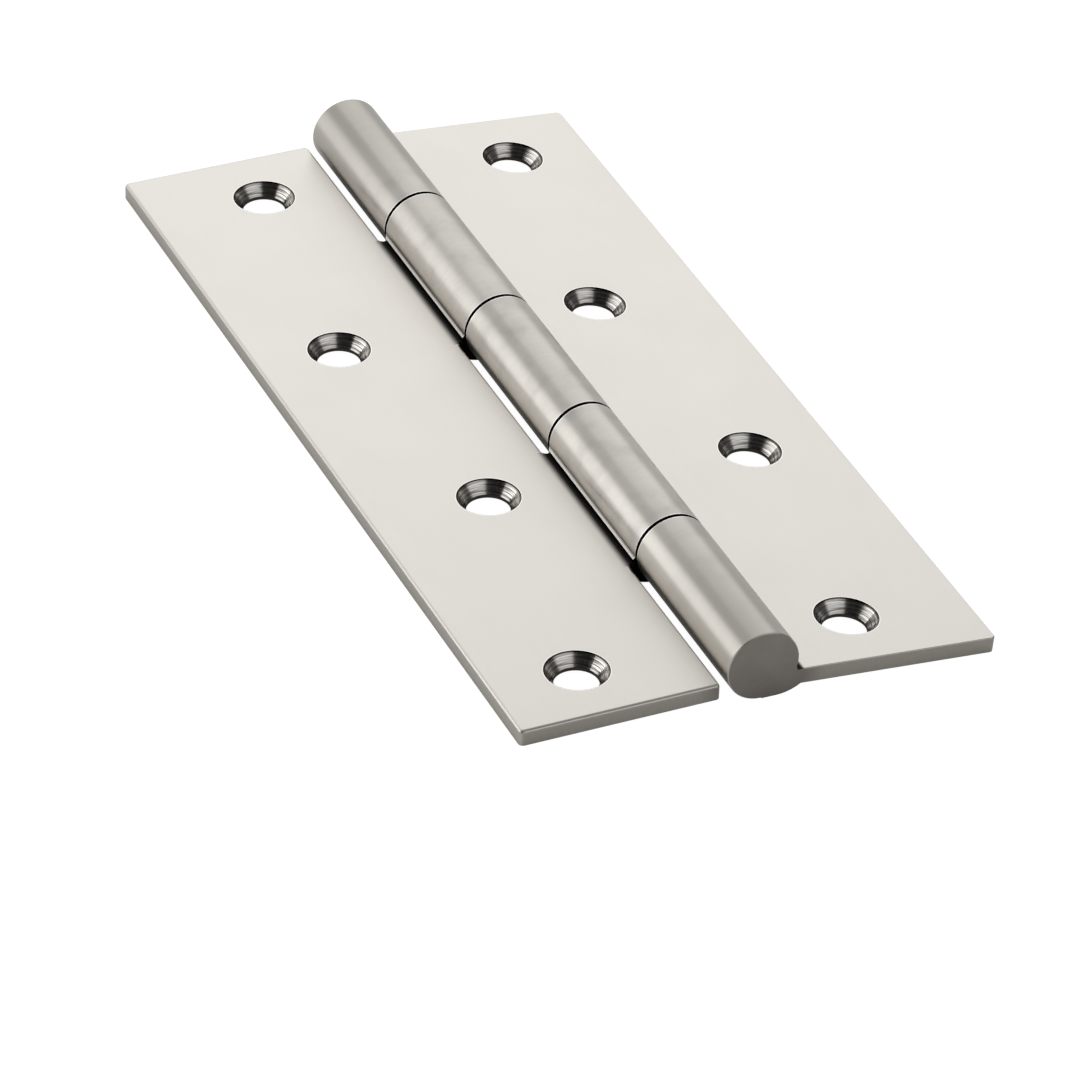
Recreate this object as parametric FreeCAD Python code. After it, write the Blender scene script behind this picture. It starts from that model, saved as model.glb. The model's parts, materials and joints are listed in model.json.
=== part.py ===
import FreeCAD, Part
import math
import os

# A welded butt hinge that lies open on a table. Two leaves of pressed sheet carry rolled knuckles that
# interleave on one pin, and the barrel's two ends are filled with weld and ground flush.
# Frame: Y runs along the pin axis towards the hinge's upper end, X runs across the open leaves towards the
# three-knuckle leaf, Z points up from the table, out of the countersunk faces. The origin is the middle of
# the pin axis. All sizes are in millimetres.

Vector = FreeCAD.Vector
pin_axis = Vector(0, 1, 0)
up = Vector(0, 0, 1)

# Leaf blanks
leaf_length = 127.0
leaf_width = 30.5               # from the pin axis to the outer edge
sheet_thickness = 2.0
leaf_corner_radius = 0.6
slot_corner_radius = 0.6
three_knuckle_softening = 0.15  # rounding of the edges round the screw face
two_knuckle_softening = 0.45    # more, because this blank's punched side became its screw face

# Barrel
knuckle_count = 5
upper_knuckle_length = 24.4     # the others share what is left
knuckle_gap = 0.3               # end play between one knuckle and the next
pin_diameter = 5.0
pin_clearance = 0.05            # radial, so that the leaves turn on the pin
rim_chamfer = 0.12
barrel_clearance = 0.75         # from a leaf's inner edge to the other leaf's knuckle
weld_depth = 1.5

# Where the sheet leaves the barrel: a short straight run, then a step up to the leaf in two bends
leaf_drop = 1.25                # from the pin axis down to the screw faces, half the gap of the shut leaves
root_rise = 4.0                 # degrees, the slope of the straight run
root_run = 1.9
lower_bend_radius = 4.5         # of the sheet's middle line, as is the next
upper_bend_radius = 1.2
lip_gap = 0.45                  # between the rolled lip and the sheet that it comes back to
lip_rounding = 0.3
lip_flare = 0.31                # how far the two-knuckle leaf's lips stand out of the round
lip_flare_length = 0.55         # of the end that doesn't follow the round
lip_flare_rounding = 0.1

# Screw holes, staggered along each leaf
hole_count = 4
upper_hole_margin = 9.65
lower_hole_margin = 8.75
inner_hole_offset = 15.1        # from the pin axis
outer_hole_offset = 19.6
countersink_diameter = 7.8
hole_diameter = 5.4
hole_land = 0.45                # straight wall at the back of the leaf, below the countersink

# Worked out from the sizes above
pin_radius = pin_diameter / 2
bore_radius = pin_radius + pin_clearance
barrel_radius = bore_radius + sheet_thickness
inner_edge = barrel_radius + barrel_clearance
half_length = leaf_length / 2
knuckle_pitch = (leaf_length - upper_knuckle_length) / (knuckle_count - 1)

# The barrel and the outer edges of both backs touch the table, so each leaf slopes down from the barrel
back_depth = leaf_drop + sheet_thickness
lying_tilt = math.asin(barrel_radius / math.hypot(leaf_width, back_depth)) - math.atan2(back_depth, leaf_width)

# Directions in the section, as angles from +X towards +Z
overhead = math.radians(90)
down = math.radians(-90)
full_turn = math.radians(360)
root_angle = down + math.radians(root_rise)


def on_circle(centre, radius, angle):
    """The section point at an angle on a circle about the centre."""
    return centre + Vector(radius * math.cos(angle), 0, radius * math.sin(angle))


def arc(centre, radius, start, end):
    """The section arc from one angle to the other, the short way or the long way as the angles say."""
    middle = (start + end) / 2
    return Part.Arc(on_circle(centre, radius, start), on_circle(centre, radius, middle),
                    on_circle(centre, radius, end)).toShape()


def line(start, end):
    return Part.LineSegment(start, end).toShape()


def along_pin(face, start, end):
    """The section face, swept from one height on the pin axis to another."""
    face = face.copy()
    face.translate(pin_axis * start)
    return face.extrude(pin_axis * (end - start))


# The two bends of the step, whose angle follows from how far the run's end still is below the leaf
axis = Vector(0, 0, 0)
half_sheet = sheet_thickness / 2
run = on_circle(axis, root_run, root_angle + overhead)
run_end = on_circle(axis, bore_radius + half_sheet, root_angle) + run
step_height = -leaf_drop - half_sheet - run_end.z
step_angle = math.acos((lower_bend_radius * math.cos(math.radians(root_rise)) + upper_bend_radius - step_height)
                       / (lower_bend_radius + upper_bend_radius))
lower_bend = run_end - on_circle(axis, lower_bend_radius, root_angle)
step_end = lower_bend.x + (lower_bend_radius + upper_bend_radius) * math.sin(step_angle)
upper_bend = Vector(step_end, 0, -leaf_drop - half_sheet - upper_bend_radius)

# The roll stops where its outer corner is the lip gap away from the upper bend
bend_distance = upper_bend.Length
lip_reach = upper_bend_radius + half_sheet + lip_gap
lip_angle = math.atan2(upper_bend.z, upper_bend.x) + math.acos(
    (barrel_radius ** 2 + bend_distance ** 2 - lip_reach ** 2) / (2 * barrel_radius * bend_distance))
lip_inner = on_circle(axis, bore_radius, lip_angle)
lip_outer = on_circle(axis, barrel_radius, lip_angle)
lip_foot_angle = math.atan2(lip_outer.z - upper_bend.z, lip_outer.x - upper_bend.x)
lip_foot = on_circle(upper_bend, upper_bend_radius + half_sheet, lip_foot_angle)


def inner_path(start_angle, end_angle):
    """The sheet's inner side from the roll to the upper bend: the bore, the run and both bends."""
    root = on_circle(axis, bore_radius, root_angle)
    return [
        arc(axis, bore_radius, start_angle, root_angle + full_turn),
        line(root, root + run),
        arc(lower_bend, lower_bend_radius - half_sheet, root_angle, down + step_angle),
        arc(upper_bend, upper_bend_radius + half_sheet, overhead + step_angle, end_angle),
    ]


def outer_path(start_angle):
    """The sheet's outer side from near the lip round the barrel and under it to the leaf's back."""
    root = on_circle(axis, barrel_radius, root_angle)
    return [
        arc(axis, barrel_radius, start_angle, root_angle + full_turn),
        line(root, root + run),
        arc(lower_bend, lower_bend_radius + half_sheet, root_angle, down + step_angle),
        arc(upper_bend, upper_bend_radius - half_sheet, overhead + step_angle, overhead),
    ]


def section(edges):
    return Part.Face(Part.Wire(Part.__sortEdges__(edges)))


def lip_corner(flare):
    """The outer corner of the roll's end, which stands out of the round by the flare."""
    return on_circle(axis, barrel_radius + flare, lip_angle)


def leaf_section(flare):
    """One bent strip: the flat leaf, the step down, and the roll round the pin up to its lip."""
    screw_face_end = Vector(leaf_width, 0, -leaf_drop)
    back_face_end = Vector(leaf_width, 0, -back_depth)
    plate = [
        line(Vector(step_end, 0, -leaf_drop), screw_face_end),
        line(screw_face_end, back_face_end),
        line(back_face_end, Vector(step_end, 0, -back_depth)),
    ]
    lip = [line(lip_corner(flare), lip_inner)]
    flare_angle = lip_angle
    if flare > 0:
        flare_angle += lip_flare_length / barrel_radius
        lip.append(line(on_circle(axis, barrel_radius, flare_angle), lip_corner(flare)))
    return section(inner_path(lip_angle, overhead) + plate + outer_path(flare_angle) + lip)


def weld_section():
    """What the weld fills: the inside of the roll and the wedge under the lip."""
    return section(inner_path(lip_angle, lip_foot_angle) + [line(lip_foot, lip_outer), line(lip_outer, lip_inner)])


def rounded_outline(corners, height):
    """A closed outline at one height, from (x, y, radius) corners."""
    points = [Vector(x, y, height) for x, y, radius in corners]
    count = len(corners)
    starts = []
    ends = []
    bends = []
    for i in range(count):
        radius = corners[i][2]
        before = points[i - 1] - points[i]
        after = points[(i + 1) % count] - points[i]
        before.normalize()
        after.normalize()
        if radius == 0:
            starts.append(points[i])
            ends.append(points[i])
            bends.append(None)
            continue
        half_angle = before.getAngle(after) / 2
        set_back = radius / math.tan(half_angle)
        inward = before + after
        inward.normalize()
        to_middle = radius / math.sin(half_angle) - radius
        starts.append(points[i] + before * set_back)
        ends.append(points[i] + after * set_back)
        bends.append(points[i] + inward * to_middle)
    edges = []
    for i in range(count):
        if bends[i] is not None:
            edges.append(Part.Arc(starts[i], bends[i], ends[i]).toShape())
        edges.append(line(ends[i], starts[(i + 1) % count]))
    return Part.Face(Part.Wire(edges))


def knuckle_spans(own):
    """The stretches of the pin axis that the knuckles of one leaf take, numbered from the lower end."""
    spans = []
    for i in range(own, knuckle_count, 2):
        start = -half_length + i * knuckle_pitch
        end = start + knuckle_pitch - knuckle_gap / 2
        if i > 0:
            start += knuckle_gap / 2
        if i == knuckle_count - 1:
            end = half_length
        spans.append((start, end))
    return spans


def comb_corners(spans):
    """The leaf seen from above: a plate whose inner edge carries one tongue for each knuckle."""
    reach = -2 * barrel_radius
    corners = [(leaf_width, half_length, leaf_corner_radius)]
    if spans[-1][1] < half_length:
        corners.append((inner_edge, half_length, leaf_corner_radius))
    for start, end in reversed(spans):
        corners.append((inner_edge, end, slot_corner_radius) if end < half_length else (reach, end, 0))
        if end < half_length:
            corners.append((reach, end, 0))
        corners.append((reach, start, 0))
        if start > -half_length:
            corners.append((inner_edge, start, slot_corner_radius))
    if spans[0][0] > -half_length:
        corners.append((inner_edge, -half_length, leaf_corner_radius))
    corners.append((leaf_width, -half_length, leaf_corner_radius))
    return corners


def blank_envelope(spans, softening):
    """The sheared blank: tall over the knuckles, and soft-edged where its top is the screw face."""
    bottom = -2 * barrel_radius
    outline = rounded_outline(comb_corners(spans), bottom)
    knuckle_side = outline.extrude(up * (4 * barrel_radius))
    split = barrel_radius + barrel_clearance / 10
    far = 2 * leaf_length
    inner_half = Part.makeBox(far, far, far, Vector(split - far, -far / 2, -far / 2))
    below_lips = (lip_corner(lip_flare).z - leaf_drop) / 2
    above_leaf = Part.makeBox(far, far, far, Vector(-far / 2, -far / 2, below_lips))
    knuckle_side = knuckle_side.common(inner_half.fuse(above_leaf))
    plate = outline.extrude(up * (-leaf_drop - bottom))
    top_edges = [edge for edge in plate.Edges if edge.BoundBox.ZMin > -leaf_drop - 0.001]
    plate = plate.makeFillet(softening, top_edges)
    outer_half = Part.makeBox(far, far, far, Vector(split, -far / 2, -far / 2))
    plate = plate.common(outer_half)
    return knuckle_side.fuse(plate)


def rim_cutter(height, outwards):
    """Takes the sharp rim off one end of a knuckle, from the lip round to the underside."""
    margin = 0.3
    inner = Vector(barrel_radius - rim_chamfer - margin, height + outwards * margin, 0)
    corner = Vector(barrel_radius + margin, height + outwards * margin, 0)
    outer = Vector(barrel_radius + margin, height - outwards * (rim_chamfer + margin), 0)
    face = Part.Face(Part.makePolygon([inner, corner, outer, inner]))
    face.rotate(axis, pin_axis, -math.degrees(lip_angle))
    sweep = math.degrees(root_angle + full_turn - lip_angle)
    return face.revolve(axis, pin_axis, -sweep)


def hole_centres(own):
    """Staggered from the upper end: outer, inner and so on, or the other way round on the second leaf."""
    pitch = (leaf_length - upper_hole_margin - lower_hole_margin) / (hole_count - 1)
    centres = []
    for i in range(hole_count):
        offset = outer_hole_offset if i % 2 == own else inner_hole_offset
        centres.append((offset, half_length - upper_hole_margin - i * pitch))
    return centres


def screw_hole(x, y):
    """Cuts the straight land and the countersink, with play above and below the sheet."""
    play = 0.5
    top = -leaf_drop
    back = top - sheet_thickness
    mouth = countersink_diameter / 2
    land = hole_diameter / 2
    slope = (mouth - land) / (sheet_thickness - hole_land)
    outline = [
        Vector(0, 0, back - play),
        Vector(land, 0, back - play),
        Vector(land, 0, back + hole_land),
        Vector(mouth + play * slope, 0, top + play),
        Vector(0, 0, top + play),
    ]
    face = Part.Face(Part.makePolygon(outline + outline[:1]))
    cutter = face.revolve(axis, up, 360)
    cutter.translate(Vector(x, y, 0))
    return cutter


def round_lips(leaf, corner, radius):
    """Rounds the outer corner of each rolled lip."""
    corners = []
    for edge in leaf.Edges:
        middle = edge.CenterOfMass
        if math.hypot(middle.x - corner.x, middle.z - corner.z) < 0.001:
            corners.append(edge)
    return leaf.makeFillet(radius, corners)


def lay_down(shape):
    """Turns a piece on the +X side about the pin axis, until the leaf's outer edge is on the table."""
    shape.rotate(axis, pin_axis, math.degrees(lying_tilt))
    return shape


def leaf(own, softening, flare, rounding):
    """A leaf on the +X side of the pin. Its lowest knuckle is the first from the lower end, or the second."""
    spans = knuckle_spans(own)
    solid = along_pin(leaf_section(flare), -half_length, half_length)
    solid = solid.common(blank_envelope(spans, softening))
    solid = round_lips(solid, lip_corner(flare), rounding)
    cutters = [screw_hole(x, y) for x, y in hole_centres(own)]
    for start, end in spans:
        cutters.append(rim_cutter(start, -1))
        cutters.append(rim_cutter(end, 1))
    return lay_down(solid.cut(cutters))


def hinge_pin():
    """A plain pin between the two welds."""
    length = leaf_length - 2 * weld_depth
    return Part.makeCylinder(pin_radius, length, Vector(0, -length / 2, 0), pin_axis)


def end_weld(outwards):
    """The filled and ground-off end of the barrel."""
    face_height = outwards * half_length
    return lay_down(along_pin(weld_section(), face_height - outwards * weld_depth, face_height))


def save(name, shape):
    solids = shape.Solids
    if len(solids) == 1:
        shape = solids[0]
    shape.exportStep(os.path.join("parts", name + ".step"))


os.makedirs("parts", exist_ok=True)

three_knuckle_leaf = leaf(0, three_knuckle_softening, 0, lip_rounding)
two_knuckle_leaf = leaf(1, two_knuckle_softening, lip_flare, lip_flare_rounding)
save("three_knuckle_leaf", three_knuckle_leaf)
save("two_knuckle_leaf", two_knuckle_leaf.mirror(axis, Vector(1, 0, 0)))
save("hinge_pin", hinge_pin())
save("upper_end_weld", end_weld(1))
save("lower_end_weld", end_weld(-1))
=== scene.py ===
import json
import math
from types import SimpleNamespace

import bpy
from mathutils import Matrix, Vector


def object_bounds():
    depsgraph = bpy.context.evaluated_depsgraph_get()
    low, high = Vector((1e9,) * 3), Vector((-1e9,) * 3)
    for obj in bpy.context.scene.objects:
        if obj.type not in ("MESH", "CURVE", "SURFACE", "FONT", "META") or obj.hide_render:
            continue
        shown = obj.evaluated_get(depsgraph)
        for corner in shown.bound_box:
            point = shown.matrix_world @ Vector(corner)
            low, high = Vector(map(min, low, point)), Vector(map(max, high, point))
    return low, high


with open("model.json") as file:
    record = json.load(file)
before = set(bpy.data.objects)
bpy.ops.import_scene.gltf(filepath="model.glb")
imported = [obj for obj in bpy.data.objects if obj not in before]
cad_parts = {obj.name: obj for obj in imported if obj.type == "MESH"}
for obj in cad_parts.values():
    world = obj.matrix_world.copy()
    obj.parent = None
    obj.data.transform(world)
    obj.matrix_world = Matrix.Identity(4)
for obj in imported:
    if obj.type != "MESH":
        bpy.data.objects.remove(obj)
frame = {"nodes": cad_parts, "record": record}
cad_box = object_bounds()

# A butt hinge of satin stainless steel, open on a white table. Its pieces keep their shape and get
# their finishes here: belt-ground leaves, brushed knuckles, turned countersinks, sheared edges and
# ground welds, with painted highlights, glints and shade on the leaves.

mm = 0.001
nodes = frame["nodes"]
mounts = {mount["name"]: mount for mount in frame["record"]["mounts"]}

# Sizes read from the frame
outer_screws = mounts["three_knuckle_outer_screws"]
inner_screws = mounts["three_knuckle_inner_screws"]
leaf_tilt = math.atan2(outer_screws["axis"][0], outer_screws["axis"][2])
table_height = cad_box[0][2]
barrel_radius = -table_height
half_length = cad_box[1][1]


def from_pin(mount):
    """How far a row of screw holes lies from the pin axis, along the leaf."""
    place = mount["pos_m"]
    return place[0] * math.cos(leaf_tilt) - place[2] * math.sin(leaf_tilt)


outer_offset = from_pin(outer_screws)
inner_offset = from_pin(inner_screws)
hole_pitch = outer_screws["dims"]["pcd_mm"] * mm / 2
first_hole = outer_screws["pos_m"][1] + hole_pitch

# The hinge's own features. Heights and distances are from the pin axis, on a leaf laid level
sheet_thickness = 2.0 * mm
pin_radius = 2.5 * mm
countersink_radius = 3.9 * mm
knuckle_pitch = 25.65 * mm
leaf_back = -3.25 * mm
land_top = -2.8 * mm            # where the countersink meets the straight land
lip_bottom = -1.04 * mm         # the lower corner of a knuckle's lip
lip_start = 4.57 * mm           # where a lip's flare comes out of its crease
lip_highlight_full = 4.68 * mm          # where the flare's painted highlight is full
lip_end = 4.95 * mm             # just outside the flare's edge
hollow_inside = 2.0 * mm        # the hollow under a lip lies further out than this
hollow_shade_full = 5.1 * mm         # where the painted shade of the hollow under a lip is full
right_hollow_shade = 5.6 * mm           # where that painted shade begins, on the three-knuckle leaf
left_hollow_shade = 6.2 * mm            # and on the two-knuckle leaf
joint_reach = 7.5 * mm          # the knuckles' end faces lie nearer than this

# Where one finish gives way to the next. A pair is where a change begins and where it is full
barrel_margin = 0.08 * mm
hole_margin = 0.02 * mm
back_margin = 0.03 * mm
rim_highlight_width = 0.12 * mm                       # the painted highlight round a countersink
joint_highlight_reach = 0.4 * mm                        # from the middle of a joint to where its painted highlight ends
end_zone = 1.0 * mm                         # the outermost part of the barrel and the leaves
cone_rim_shade = (-1.55 * mm, -1.3 * mm)          # the heights of the band of painted shade under a countersink's rim
wheel_reach = (9.0 * mm, 5.5 * mm)          # the distances at which the wheel marked the leaf's end
darker_ends = (32.0 * mm, 60.0 * mm)          # from the middle, where the barrel turns darker
upright = 0.5                               # a normal that rises less than this is an edge's
facing_an_end = 0.6                         # one that runs along the pin more than this is an end's
joint_turn = (0.5, 0.68)                    # the same with a soft change, for the joints, painted dark as shade
ground_turn = (0.8, 0.97)                   # and for the ground ends
long_edge_turn = (0.3, 0.8)                 # and across the pin, for the painted light on the leaf's long edge

# Marks: their spacing, length and depth
belt_spacing = 0.16 * mm        # drawn about twice as coarse as the real belt marks, to show at all
belt_length = 9.0 * mm
belt_depth = 0.0012 * mm
brush_spacing = 0.28 * mm
brush_length = 5.0 * mm
brush_depth = 0.003 * mm
turning_spacing = 0.36 * mm
turning_length = 2.0            # in radians round the hole
turning_depth = 0.018 * mm
shear_spacing = 0.12 * mm
shear_depth = 0.006 * mm
wheel_spacing = 0.14 * mm
wheel_length = 3.0 * mm
wheel_depth = 0.004 * mm
wheel_slant = math.radians(35)
drawing_spacing = 0.1 * mm
drawing_length = 20.0 * mm
drawing_depth = 0.002 * mm
slanted_knuckle = 3.0           # counted from 0 at the near end, the one that was brushed aslant
brush_slant = 0.42              # how far its strokes turn from round the barrel to along it

# Soft clouds in the finishes: their size, and the levels between which they count
sheet_cloud = 14.0 * mm
ground_cloud = 3.0 * mm
rolled_patch = 3.5 * mm
patch_levels = (0.4, 0.8)
# and the levels of the painted glints along the countersinks' turning marks
painted_glint_levels = (0.3, 0.7)

# Gloss. A pair is the least and the greatest roughness, which follows the marks
anisotropy = 0.7
belt_roughness = (0.33, 0.41)
brush_roughness = (0.30, 0.38)
turned_roughness = 0.16
sheared_roughness = 0.48
ground_roughness = 0.47
unreached_roughness = 0.55
drawn_roughness = (0.25, 0.33)

# The white table
table_reach = 20.0              # metres each way from the hinge
background_strength = 1.22      # the brightness of the white that shows as the background
background_share = 0.8          # how much of that white the camera sees; the rest is lit paper
mirrored_share = 0.42           # how much of it the metal mirrors
contact_reach = 12.0 * mm       # how near to the hinge the mirrored white fades into painted shadow

# The studio's walls, by the direction from the hinge. A pair is where a wall begins and where it is full
far_wall = (0.0, 0.9)           # the direction's part along the pin
overhead = (55, 80)             # elevation in degrees
doorway_aim = (218, 42)         # azimuth and elevation in degrees
doorway_edge = (38, 28)         # degrees from the doorway's middle
screen_back = (-0.45, -0.65)    # the direction's part along the pin
screen_top = (0.5, 0.35)        # the direction's part upwards

# The camera: where it stands and what it looks at, in millimetres, and how far it leans
camera_place = Vector((-309.7, -632.9, 446.6)) * mm
camera_target = Vector((-11.15, -25.4, -4.55)) * mm
camera_roll = math.radians(4.53)
camera_clip = (0.01, 100.0)
sensor_width = 36.0
focal_share = 6833.0 / 1080.0   # focal length over the frame's width

# What a Map Range node needs to go smoothly from 0 to 1
smooth = {"interpolation_type": "SMOOTHSTEP"}


def linear(hex_colour):
    """An sRGB hex colour as linear red, green, blue and alpha."""
    channels = [int(hex_colour[i:i + 2], 16) / 255 for i in (1, 3, 5)]
    return tuple(c / 12.92 if c <= 0.04045 else ((c + 0.055) / 1.055) ** 2.4 for c in channels) + (1.0,)


white = linear("#FFFFFF")
# A pale colour painted on as a highlight: round the countersinks' rims, on the joints' rims and on the lips'
# flares
painted_highlight = linear("#F4F2EF")


def add(tree, kind, inputs=(), **settings):
    """Adds a shader node with its settings. The inputs are given by name, or in order for the sockets
    that the settings leave in use. Each is a value, a socket or a node, which stands for its first
    output in use."""
    node = tree.nodes.new("ShaderNode" + kind)
    for name, value in settings.items():
        setattr(node, name, value)
    if isinstance(inputs, dict):
        pairs = [(node.inputs[name], value) for name, value in inputs.items()]
    else:
        pairs = zip([socket for socket in node.inputs if socket.enabled], inputs)
    for socket, value in pairs:
        if isinstance(value, bpy.types.Node):
            value = next(output for output in value.outputs if output.enabled)
        if isinstance(value, bpy.types.NodeSocket):
            tree.links.new(value, socket)
        else:
            socket.default_value = value
    return node


def both(tree, share, *others):
    """The share where all of these hold."""
    for other in others:
        share = add(tree, "Math", (share, other), operation="MULTIPLY")
    return share


def without(tree, share, left_out):
    """The share where the first holds and the second doesn't."""
    return both(tree, share, add(tree, "Math", (1.0, left_out), operation="SUBTRACT"))


def within(tree, value, low, high):
    """The share, 0 or 1, where a value lies between two limits."""
    return both(tree, add(tree, "Math", (value, low), operation="GREATER_THAN"),
                add(tree, "Math", (value, high), operation="LESS_THAN"))


def cover(tree, value, *layers, kind="FLOAT"):
    """A number, vector or colour with layers over it, the last on top. A layer is its share and what
    shows there."""
    for share, shown in layers:
        value = add(tree, "Mix", (share, value, shown), data_type=kind)
    return value


def distance(tree, across, along):
    """The straight distance over two steps at a right angle."""
    square = add(tree, "Math", (across, across), operation="MULTIPLY")
    squares = add(tree, "Math", (along, along, square), operation="MULTIPLY_ADD")
    return add(tree, "Math", (squares,), operation="SQRT")


def new_material(name):
    """An empty material and its node tree."""
    material = bpy.data.materials.new(name)
    material.use_nodes = True
    material.node_tree.nodes.clear()
    return material, material.node_tree


def leaf_places(tree, side):
    """Object coordinates and normals as if the leaf lay level on the +X side of the pin, for either leaf."""
    coordinates = add(tree, "TexCoord").outputs
    level = {"Scale": (side, 1.0, 1.0), "Rotation": (0.0, -leaf_tilt, 0.0)}
    place = add(tree, "Mapping", {"Vector": coordinates["Object"], **level})
    facing = add(tree, "Mapping", {"Vector": coordinates["Normal"], **level}, vector_type="NORMAL")
    return place, facing


def back_to_world(tree, direction, side):
    """A direction in the level leaf's axes, turned back to where the leaf lies."""
    laid = add(tree, "Mapping", {"Vector": direction, "Rotation": (0.0, leaf_tilt, 0.0)},
               vector_type="VECTOR")
    laid = add(tree, "Mapping", {"Vector": laid, "Scale": (side, 1.0, 1.0)}, vector_type="VECTOR")
    return add(tree, "VectorTransform", (laid,), vector_type="VECTOR", convert_from="OBJECT",
               convert_to="WORLD")


def nearest_hole(tree, x, y, first_offset, second_offset):
    """Where a point lies from the nearest screw hole's centre: across, along and straight."""
    from_first = add(tree, "Math", (first_hole, y), operation="SUBTRACT")
    steps = add(tree, "Math", (from_first, hole_pitch), operation="DIVIDE")
    number = add(tree, "Math", (steps,), operation="ROUND")
    staggered = add(tree, "Math", (number, 1.0), operation="PINGPONG")
    offset = add(tree, "Math", (staggered, second_offset - first_offset, first_offset),
                 operation="MULTIPLY_ADD")
    hole_y = add(tree, "Math", (number, -hole_pitch, first_hole), operation="MULTIPLY_ADD")
    across = add(tree, "Math", (x, offset), operation="SUBTRACT")
    along = add(tree, "Math", (y, hole_y), operation="SUBTRACT")
    return across, along, distance(tree, across, along)


def scratches(tree, across, along, spacing, length):
    """Streaks: noise that is much longer along the stroke than across it."""
    across = add(tree, "Math", (across, spacing), operation="DIVIDE")
    along = add(tree, "Math", (along, length), operation="DIVIDE")
    stretched = add(tree, "CombineXYZ", (across, along))
    return add(tree, "TexNoise", {"Vector": stretched, "Scale": 1.0, "Detail": 3.0, "Roughness": 0.6})


def wheel_marks(tree, place):
    """The short straight scratches of the wheel that ground the barrel's ends."""
    turned = add(tree, "Mapping", {"Vector": place, "Rotation": (0.0, wheel_slant, 0.0)})
    x, _, z = add(tree, "SeparateXYZ", (turned,)).outputs
    return scratches(tree, z, x, wheel_spacing, wheel_length)


def ground_colour(tree, place, wheel):
    """Ground steel is duller and darker than the sheet, and a little blotched."""
    cloud = add(tree, "TexNoise", {"Vector": place, "Scale": 1 / ground_cloud, "Detail": 2.0})
    shade = add(tree, "Mix", (wheel, linear("#807B75"), linear("#928D87")), data_type="RGBA")
    return add(tree, "Mix", (cloud, linear("#7B7670"), shade), data_type="RGBA")


def leaf_zones(tree, place, facing, first_knuckle, hollow_shade_start, hole_offsets):
    """Where each finish of a leaf lies, and where highlights and shade are painted, as shares from 0 to 1,
    and the measures that its marks follow.
    """
    x, y, z = add(tree, "SeparateXYZ", (place,)).outputs
    normal = add(tree, "SeparateXYZ", (facing,)).outputs
    sideways, endwise, upwards = (add(tree, "Math", (part,), operation="ABSOLUTE") for part in normal)
    from_middle = add(tree, "Math", (y,), operation="ABSOLUTE")
    from_axis = distance(tree, z, x)
    above_back = add(tree, "Math", (z, leaf_back + back_margin), operation="GREATER_THAN")
    outermost = add(tree, "Math", (from_middle, half_length - end_zone), operation="GREATER_THAN")

    # The knuckles, counted from the near end, the joints between them and the painted highlights on their
    # rims
    from_end = add(tree, "Math", (y, half_length), operation="ADD")
    knuckle = add(tree, "Math", (from_end, knuckle_pitch), operation="DIVIDE")
    knuckle = add(tree, "Math", (knuckle,), operation="FLOOR")
    own_knuckle = add(tree, "Math", (knuckle, 1.0), operation="PINGPONG")
    own_knuckle = add(tree, "Math", (own_knuckle, first_knuckle, 0.5), operation="COMPARE")
    from_joint = add(tree, "Math", (from_end, knuckle_pitch / 2), operation="PINGPONG")
    joint_highlight = add(tree, "Math", (from_joint, joint_highlight_reach), operation="LESS_THAN")
    joint_highlight = without(tree, joint_highlight, outermost)
    near_axis = add(tree, "Math", (from_axis, joint_reach), operation="LESS_THAN")
    in_joint = add(tree, "MapRange", (endwise, *joint_turn), **smooth)
    in_joint = both(tree, without(tree, in_joint, outermost), near_axis)

    # The round of the barrel, with the lip that stands out of it
    on_lip = both(tree, own_knuckle, within(tree, z, lip_bottom, 0.0),
                  within(tree, from_axis, lip_start, lip_end))
    on_barrel = add(tree, "Math", (from_axis, barrel_radius + barrel_margin), operation="LESS_THAN")
    on_barrel = add(tree, "Math", (on_barrel, on_lip), operation="MAXIMUM")

    # The screw holes, with a painted highlight round the rim outside and a straight land at the bottom
    hole_x, hole_y, from_hole = nearest_hole(tree, x, y, *hole_offsets)
    in_hole = add(tree, "Math", (from_hole, countersink_radius + hole_margin), operation="LESS_THAN")
    in_hole = both(tree, above_back, in_hole)
    rim_highlight = add(tree, "Math", (from_hole, countersink_radius + rim_highlight_width), operation="LESS_THAN")
    rim_highlight = without(tree, both(tree, above_back, rim_highlight), in_hole)
    on_land = both(tree, in_hole, add(tree, "Math", (z, land_top), operation="LESS_THAN"))

    # The sheared edges and the ground ends
    sheared = add(tree, "Math", (upwards, upright), operation="LESS_THAN")
    sheared = without(tree, without(tree, sheared, in_hole), on_barrel)
    ground = both(tree, outermost, add(tree, "MapRange", (endwise, *ground_turn), **smooth),
                  add(tree, "MapRange", (from_axis, *wheel_reach), **smooth))

    # What neither belt nor brush reached, painted dark as shade: the joints, the lands and the hollow under
    # a lip
    on_step = add(tree, "MapRange", (x, hollow_shade_start, hollow_shade_full), **smooth)
    outside = add(tree, "Math", (x, hollow_inside), operation="GREATER_THAN")
    under_lip = add(tree, "Math", (z, lip_bottom), operation="LESS_THAN")
    in_hollow = without(tree, both(tree, on_step, own_knuckle, outside, under_lip, above_back), ground)
    unreached_and_painted_shade = add(tree, "Math", (in_joint, on_land), operation="MAXIMUM")
    unreached_and_painted_shade = add(tree, "Math", (unreached_and_painted_shade, in_hollow), operation="MAXIMUM")

    return SimpleNamespace(
        x=x, y=y, z=z, sideways=sideways, endwise=endwise, from_middle=from_middle, from_axis=from_axis,
        hole_x=hole_x, hole_y=hole_y, from_hole=from_hole, knuckle=knuckle, joint_highlight=joint_highlight,
        on_lip=on_lip, on_barrel=on_barrel, in_hole=in_hole, rim_highlight=rim_highlight, sheared=sheared,
        ground=ground, unreached_and_painted_shade=unreached_and_painted_shade)


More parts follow.
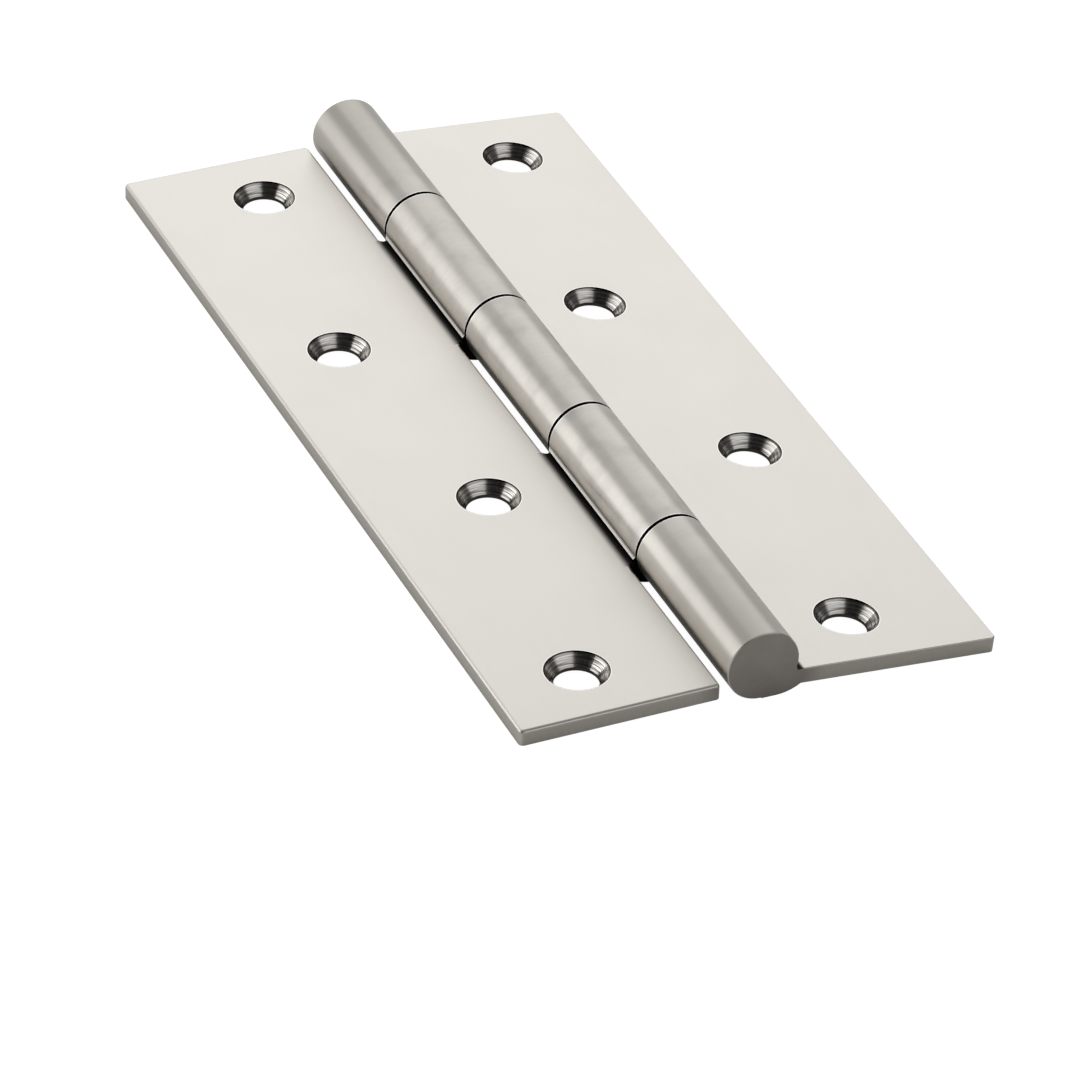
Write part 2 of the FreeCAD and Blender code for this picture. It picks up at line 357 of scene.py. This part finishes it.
def leaf_marks(tree, place, zone):
    """The marks that each finish leaves."""
    round_axis = add(tree, "Math", (zone.z, zone.x), operation="ARCTAN2")
    round_barrel = add(tree, "Math", (round_axis, barrel_radius), operation="MULTIPLY")
    round_hole = add(tree, "Math", (zone.hole_y, zone.hole_x), operation="ARCTAN2")
    down_cone = add(tree, "Math", (zone.z, zone.from_hole), operation="ADD")
    along_edge = add(tree, "Math", (zone.x, zone.y), operation="ADD")
    return SimpleNamespace(
        belt=scratches(tree, zone.x, zone.y, belt_spacing, belt_length),
        brush=scratches(tree, zone.y, round_barrel, brush_spacing, brush_length),
        turning=scratches(tree, down_cone, round_hole, turning_spacing, turning_length),
        shear=scratches(tree, along_edge, zone.z, shear_spacing, sheet_thickness),
        wheel=wheel_marks(tree, place))


def leaf_relief(tree, zone, marks):
    """The depth of the marks, as a bent normal."""
    belt = add(tree, "Math", (marks.belt, belt_depth), operation="MULTIPLY")
    brush = add(tree, "Math", (marks.brush, brush_depth), operation="MULTIPLY")
    turning = add(tree, "Math", (marks.turning, turning_depth), operation="MULTIPLY")
    shear = add(tree, "Math", (marks.shear, shear_depth), operation="MULTIPLY")
    wheel = add(tree, "Math", (marks.wheel, wheel_depth), operation="MULTIPLY")
    height = cover(tree, belt, (zone.on_barrel, brush), (zone.in_hole, turning), (zone.sheared, shear),
                   (zone.ground, wheel))
    return add(tree, "Bump", {"Height": height, "Distance": 1.0, "Strength": 1.0})


def gloss_direction(tree, facing, zone):
    """The direction across the marks, in which the gloss spreads."""
    along_edge = add(tree, "VectorMath", ((0.0, 0.0, 1.0), facing), operation="CROSS_PRODUCT")
    round_barrel = add(tree, "VectorMath", (facing, (0.0, 1.0, 0.0)), operation="CROSS_PRODUCT")
    slant = add(tree, "Math", (zone.knuckle, slanted_knuckle, 0.5), operation="COMPARE")
    slant = add(tree, "Math", (slant, brush_slant), operation="MULTIPLY")
    across_brush = cover(tree, (0.0, 1.0, 0.0), (slant, round_barrel), kind="VECTOR")
    on_end = add(tree, "Math", (zone.endwise, facing_an_end), operation="GREATER_THAN")
    return cover(tree, (1.0, 0.0, 0.0), (zone.on_barrel, across_brush), (zone.sheared, along_edge),
                 (zone.in_hole, (0.0, 0.0, 1.0)), (on_end, (1.0, 0.0, 0.0)), kind="VECTOR")


def rolled_colour(tree, place, zone, brush):
    """The knuckles are streaked round the barrel and a little patchy, and darker towards the barrel's ends.
    Painted highlights lie on the joints' rims and along their lips, which rise out of creases painted dark
    as shade."""
    streaks = add(tree, "Mix", (brush, linear("#C3BFB8"), linear("#D9D5CE")), data_type="RGBA")
    patch = add(tree, "TexNoise", {"Vector": place, "Scale": 1 / rolled_patch, "Detail": 3.0})
    patch = add(tree, "MapRange", (patch, *patch_levels), **smooth)
    to_ends = add(tree, "MapRange", (zone.from_middle, *darker_ends), **smooth)
    lip_highlight = add(tree, "MapRange", (zone.from_axis, lip_start, lip_highlight_full), **smooth)
    # The lip's crease is painted dark as shade and its flare painted bright as a highlight
    lip = add(tree, "Mix", (lip_highlight, linear("#9A968F"), painted_highlight), data_type="RGBA")
    # The joints' rims get a painted highlight
    return cover(tree, streaks, (patch, linear("#BEBBB5")), (to_ends, linear("#BCB8B1")),
                 (zone.on_lip, lip), (zone.joint_highlight, painted_highlight), kind="RGBA")


def turned_colour(tree, zone, turning):
    """The countersinks are painted dark as shade, with painted glints along the turning marks and a band of
    painted shade under the rim.
    """
    painted_glint = add(tree, "MapRange", (turning, *painted_glint_levels), **smooth)
    cone = add(tree, "Mix", (painted_glint, linear("#4A4743"), linear("#EAE7E2")), data_type="RGBA")
    rim_shade = add(tree, "MapRange", (zone.z, *cone_rim_shade), **smooth)
    return add(tree, "Mix", (rim_shade, cone, linear("#2A2825")), data_type="RGBA")


def sheared_colour(tree, zone, shear):
    """Sheared edges are greyer than the faces, and the leaf's long edge is painted lighter than its ends, as
    painted light.
    """
    cut = add(tree, "Mix", (shear, linear("#918D87"), linear("#A8A49D")), data_type="RGBA")
    long_edge_light = add(tree, "MapRange", (zone.sideways, *long_edge_turn), **smooth)
    return add(tree, "Mix", (long_edge_light, cut, linear("#B9B5AF")), data_type="RGBA")


def leaf_colour(tree, place, zone, marks):
    """The colour of each finish, over the pale, slightly warm belt-ground sheet, with painted highlights,
    glints and shade.
    """
    cloud = add(tree, "TexNoise", {"Vector": place, "Scale": 1 / sheet_cloud, "Detail": 2.0})
    sheet = add(tree, "Mix", (cloud, linear("#D1CDC7"), linear("#D7D3CE")), data_type="RGBA")
    # Painted shade: near black in the joints and the hollow under a lip, dark grey on the hole lands
    dark = add(tree, "Mix", (zone.in_hole, linear("#1C1916"), linear("#4A4641")), data_type="RGBA")
    # Over the sheet: a painted highlight round each countersink's rim, then the knuckles, countersinks,
    # edges, ground ends and painted shade
    return cover(tree, sheet, (zone.rim_highlight, painted_highlight),
                 (zone.on_barrel, rolled_colour(tree, place, zone, marks.brush)),
                 (zone.in_hole, turned_colour(tree, zone, marks.turning)),
                 (zone.sheared, sheared_colour(tree, zone, marks.shear)),
                 (zone.ground, ground_colour(tree, place, marks.wheel)),
                 (zone.unreached_and_painted_shade, dark), kind="RGBA")


def leaf_roughness(tree, zone, marks):
    """How dull each finish is."""
    belt = add(tree, "Mix", (marks.belt, *belt_roughness))
    brush = add(tree, "Mix", (marks.brush, *brush_roughness))
    return cover(tree, belt, (zone.on_barrel, brush), (zone.in_hole, turned_roughness),
                 (zone.sheared, sheared_roughness), (zone.ground, ground_roughness),
                 (zone.unreached_and_painted_shade, unreached_roughness))


def satin_stainless(name, side, first_knuckle, hollow_shade_start, hole_offsets):
    """Stainless steel sheet, satin: belt-ground flats whose hair-fine marks run along the leaf, so it
    gives an even, pale, slightly warm sheen; knuckles brushed round the barrel, which breaks their gloss
    into soft bands; turned countersinks that glint in wedges, painted dark with painted glints; duller
    sheared edges, the long one painted lighter; painted highlights on the hole rims, joint rims and lips;
    and painted shade where no belt reaches: the joints, the hole lands and the hollow under each lip."""
    material, tree = new_material(name)
    place, facing = leaf_places(tree, side)
    zone = leaf_zones(tree, place, facing, first_knuckle, hollow_shade_start, hole_offsets)
    marks = leaf_marks(tree, place, zone)
    metal = add(tree, "BsdfPrincipled", {
        "Base Color": leaf_colour(tree, place, zone, marks), "Metallic": 1.0,
        "Roughness": leaf_roughness(tree, zone, marks), "Anisotropic": anisotropy,
        "Normal": leaf_relief(tree, zone, marks),
        "Tangent": back_to_world(tree, gloss_direction(tree, facing, zone), side)})
    add(tree, "OutputMaterial", {"Surface": metal})
    return material


def ground_weld(name):
    """Stainless weld, ground flush by hand: short straight wheel marks, duller and darker than the sheet."""
    material, tree = new_material(name)
    place, _ = leaf_places(tree, 1.0)
    wheel = wheel_marks(tree, place)
    height = add(tree, "Math", (wheel, wheel_depth), operation="MULTIPLY")
    metal = add(tree, "BsdfPrincipled", {
        "Base Color": ground_colour(tree, place, wheel), "Metallic": 1.0,
        "Roughness": ground_roughness, "Anisotropic": anisotropy,
        "Normal": add(tree, "Bump", {"Height": height, "Distance": 1.0, "Strength": 1.0}),
        "Tangent": back_to_world(tree, (1.0, 0.0, 0.0), 1.0)})
    add(tree, "OutputMaterial", {"Surface": metal})
    return material


def pin_steel(name):
    """Drawn stainless rod: bright, with faint die lines along its length."""
    material, tree = new_material(name)
    place = add(tree, "TexCoord").outputs["Object"]
    x, y, z = add(tree, "SeparateXYZ", (place,)).outputs
    angle = add(tree, "Math", (z, x), operation="ARCTAN2")
    round_rod = add(tree, "Math", (angle, pin_radius), operation="MULTIPLY")
    lines = scratches(tree, round_rod, y, drawing_spacing, drawing_length)
    height = add(tree, "Math", (lines, drawing_depth), operation="MULTIPLY")
    metal = add(tree, "BsdfPrincipled", {
        "Base Color": add(tree, "Mix", (lines, linear("#8A8781"), linear("#A09C97")), data_type="RGBA"),
        "Metallic": 1.0, "Roughness": add(tree, "Mix", (lines, *drawn_roughness)),
        "Normal": add(tree, "Bump", {"Height": height, "Distance": 1.0, "Strength": 1.0})})
    add(tree, "OutputMaterial", {"Surface": metal})
    return material


def white_table(name):
    """White paper on a table. Its own white shows as the background, and more faintly in the metal,
    where it fades into a painted shadow close under the hinge, and the shade on it stays."""
    material, tree = new_material(name)
    paper = add(tree, "BsdfDiffuse", {"Color": linear("#F4F4F2")})
    background = add(tree, "Emission", {"Color": white, "Strength": background_strength})
    rays = add(tree, "LightPath").outputs
    mirrored = add(tree, "Math", (rays["Is Glossy Ray"], rays["Is Transmission Ray"]), operation="MAXIMUM")
    seen = add(tree, "Math", (rays["Is Camera Ray"], background_share), operation="MULTIPLY")
    open_paper = add(tree, "AmbientOcclusion", {"Distance": contact_reach}, samples=6).outputs["AO"]
    share = add(tree, "Math", (both(tree, mirrored, open_paper), mirrored_share, seen),
                operation="MULTIPLY_ADD")
    add(tree, "OutputMaterial", {"Surface": add(tree, "MixShader", (share, paper, background))})
    return material


def finish(name, material):
    """Gives a piece of the hinge its material."""
    for slot in nodes[name].material_slots:
        slot.material = material


def table(reach):
    """A wide sheet at the height that the hinge rests on."""
    mesh = bpy.data.meshes.new("table")
    corners = [(-reach, -reach), (reach, -reach), (reach, reach), (-reach, reach)]
    mesh.from_pydata([(x, y, table_height) for x, y in corners], [], [(0, 1, 2, 3)])
    sheet = bpy.data.objects.new("table", mesh)
    bpy.context.scene.collection.objects.link(sheet)
    mesh.materials.append(white_table("white_paper"))


def aim(azimuth, elevation):
    """The direction from the hinge, with the azimuth turning from +Y towards +X, both in degrees."""
    azimuth, elevation = math.radians(azimuth), math.radians(elevation)
    return Vector((math.sin(azimuth) * math.cos(elevation), math.cos(azimuth) * math.cos(elevation),
                   math.sin(elevation)))


def studio_walls(near, far, ceiling, doorway, screen):
    """The brightness of the walls: dim beside the hinge and pale beyond it, with a grey ceiling, a dark
    doorway behind the camera and a pale screen below the doorway."""
    world = bpy.data.worlds.new("studio")
    bpy.context.scene.world = world
    world.use_nodes = True
    tree = world.node_tree
    tree.nodes.clear()
    direction = add(tree, "TexCoord").outputs["Generated"]
    _, y, z = add(tree, "SeparateXYZ", (direction,)).outputs
    to_far_wall = add(tree, "MapRange", (y, *far_wall), **smooth)
    ceiling_span = [math.sin(math.radians(elevation)) for elevation in overhead]
    to_ceiling = add(tree, "MapRange", (z, *ceiling_span), **smooth)
    doorway_span = [math.cos(math.radians(angle)) for angle in doorway_edge]
    to_doorway = add(tree, "VectorMath", (direction, aim(*doorway_aim)), operation="DOT_PRODUCT")
    to_doorway = add(tree, "MapRange", (to_doorway, *doorway_span), **smooth)
    to_screen = both(tree, add(tree, "MapRange", (y, *screen_back), **smooth),
                     add(tree, "MapRange", (z, *screen_top), **smooth))
    level = cover(tree, near, (to_far_wall, far), (to_ceiling, ceiling), (to_doorway, doorway),
                  (to_screen, screen))
    add(tree, "OutputWorld", {"Surface": add(tree, "Background", {"Color": white, "Strength": level})})


def softbox(name, azimuth, elevation, width, height, radiance):
    """A rectangular soft light, one metre away, that faces the hinge."""
    place = aim(azimuth, elevation)
    lamp = bpy.data.lights.new(name, "AREA")
    lamp.shape = "RECTANGLE"
    lamp.size, lamp.size_y = width, height
    lamp.energy = radiance * math.pi * width * height
    holder = bpy.data.objects.new(name, lamp)
    facing = (-place).to_track_quat("-Z", "Y").to_matrix().to_4x4()
    holder.matrix_world = Matrix.Translation(place) @ facing
    holder.visible_camera = False
    bpy.context.scene.collection.objects.link(holder)


def add_camera():
    """The camera, at the photograph's viewing angle."""
    camera = bpy.data.cameras.new("camera")
    camera.sensor_width = sensor_width
    camera.lens = sensor_width * focal_share
    camera.clip_start, camera.clip_end = camera_clip
    holder = bpy.data.objects.new("camera", camera)
    facing = (camera_target - camera_place).to_track_quat("-Z", "Y").to_matrix().to_4x4()
    roll = Matrix.Rotation(camera_roll, 4, "Z")
    holder.matrix_world = Matrix.Translation(camera_place) @ facing @ roll
    bpy.context.scene.collection.objects.link(holder)
    bpy.context.scene.camera = holder


finish("three_knuckle_leaf", satin_stainless(
    "satin_stainless_right", side=1.0, first_knuckle=0.0, hollow_shade_start=right_hollow_shade,
    hole_offsets=(outer_offset, inner_offset)))
finish("two_knuckle_leaf", satin_stainless(
    "satin_stainless_left", side=-1.0, first_knuckle=1.0, hollow_shade_start=left_hollow_shade,
    hole_offsets=(inner_offset, outer_offset)))
finish("hinge_pin", pin_steel("drawn_stainless_rod"))
weld = ground_weld("ground_stainless_weld")
finish("upper_end_weld", weld)
finish("lower_end_weld", weld)

table(table_reach)
studio_walls(near=0.09, far=0.85, ceiling=0.42, doorway=0.03, screen=0.8)
softbox("far_softbox", azimuth=22, elevation=30, width=0.8, height=0.5, radiance=0.6)
softbox("left_softbox", azimuth=-66, elevation=18, width=0.9, height=0.7, radiance=1.35)
softbox("right_softbox", azimuth=153, elevation=38, width=1.1, height=0.5, radiance=0.75)
add_camera()

bpy.context.scene.view_settings.view_transform = "Standard"
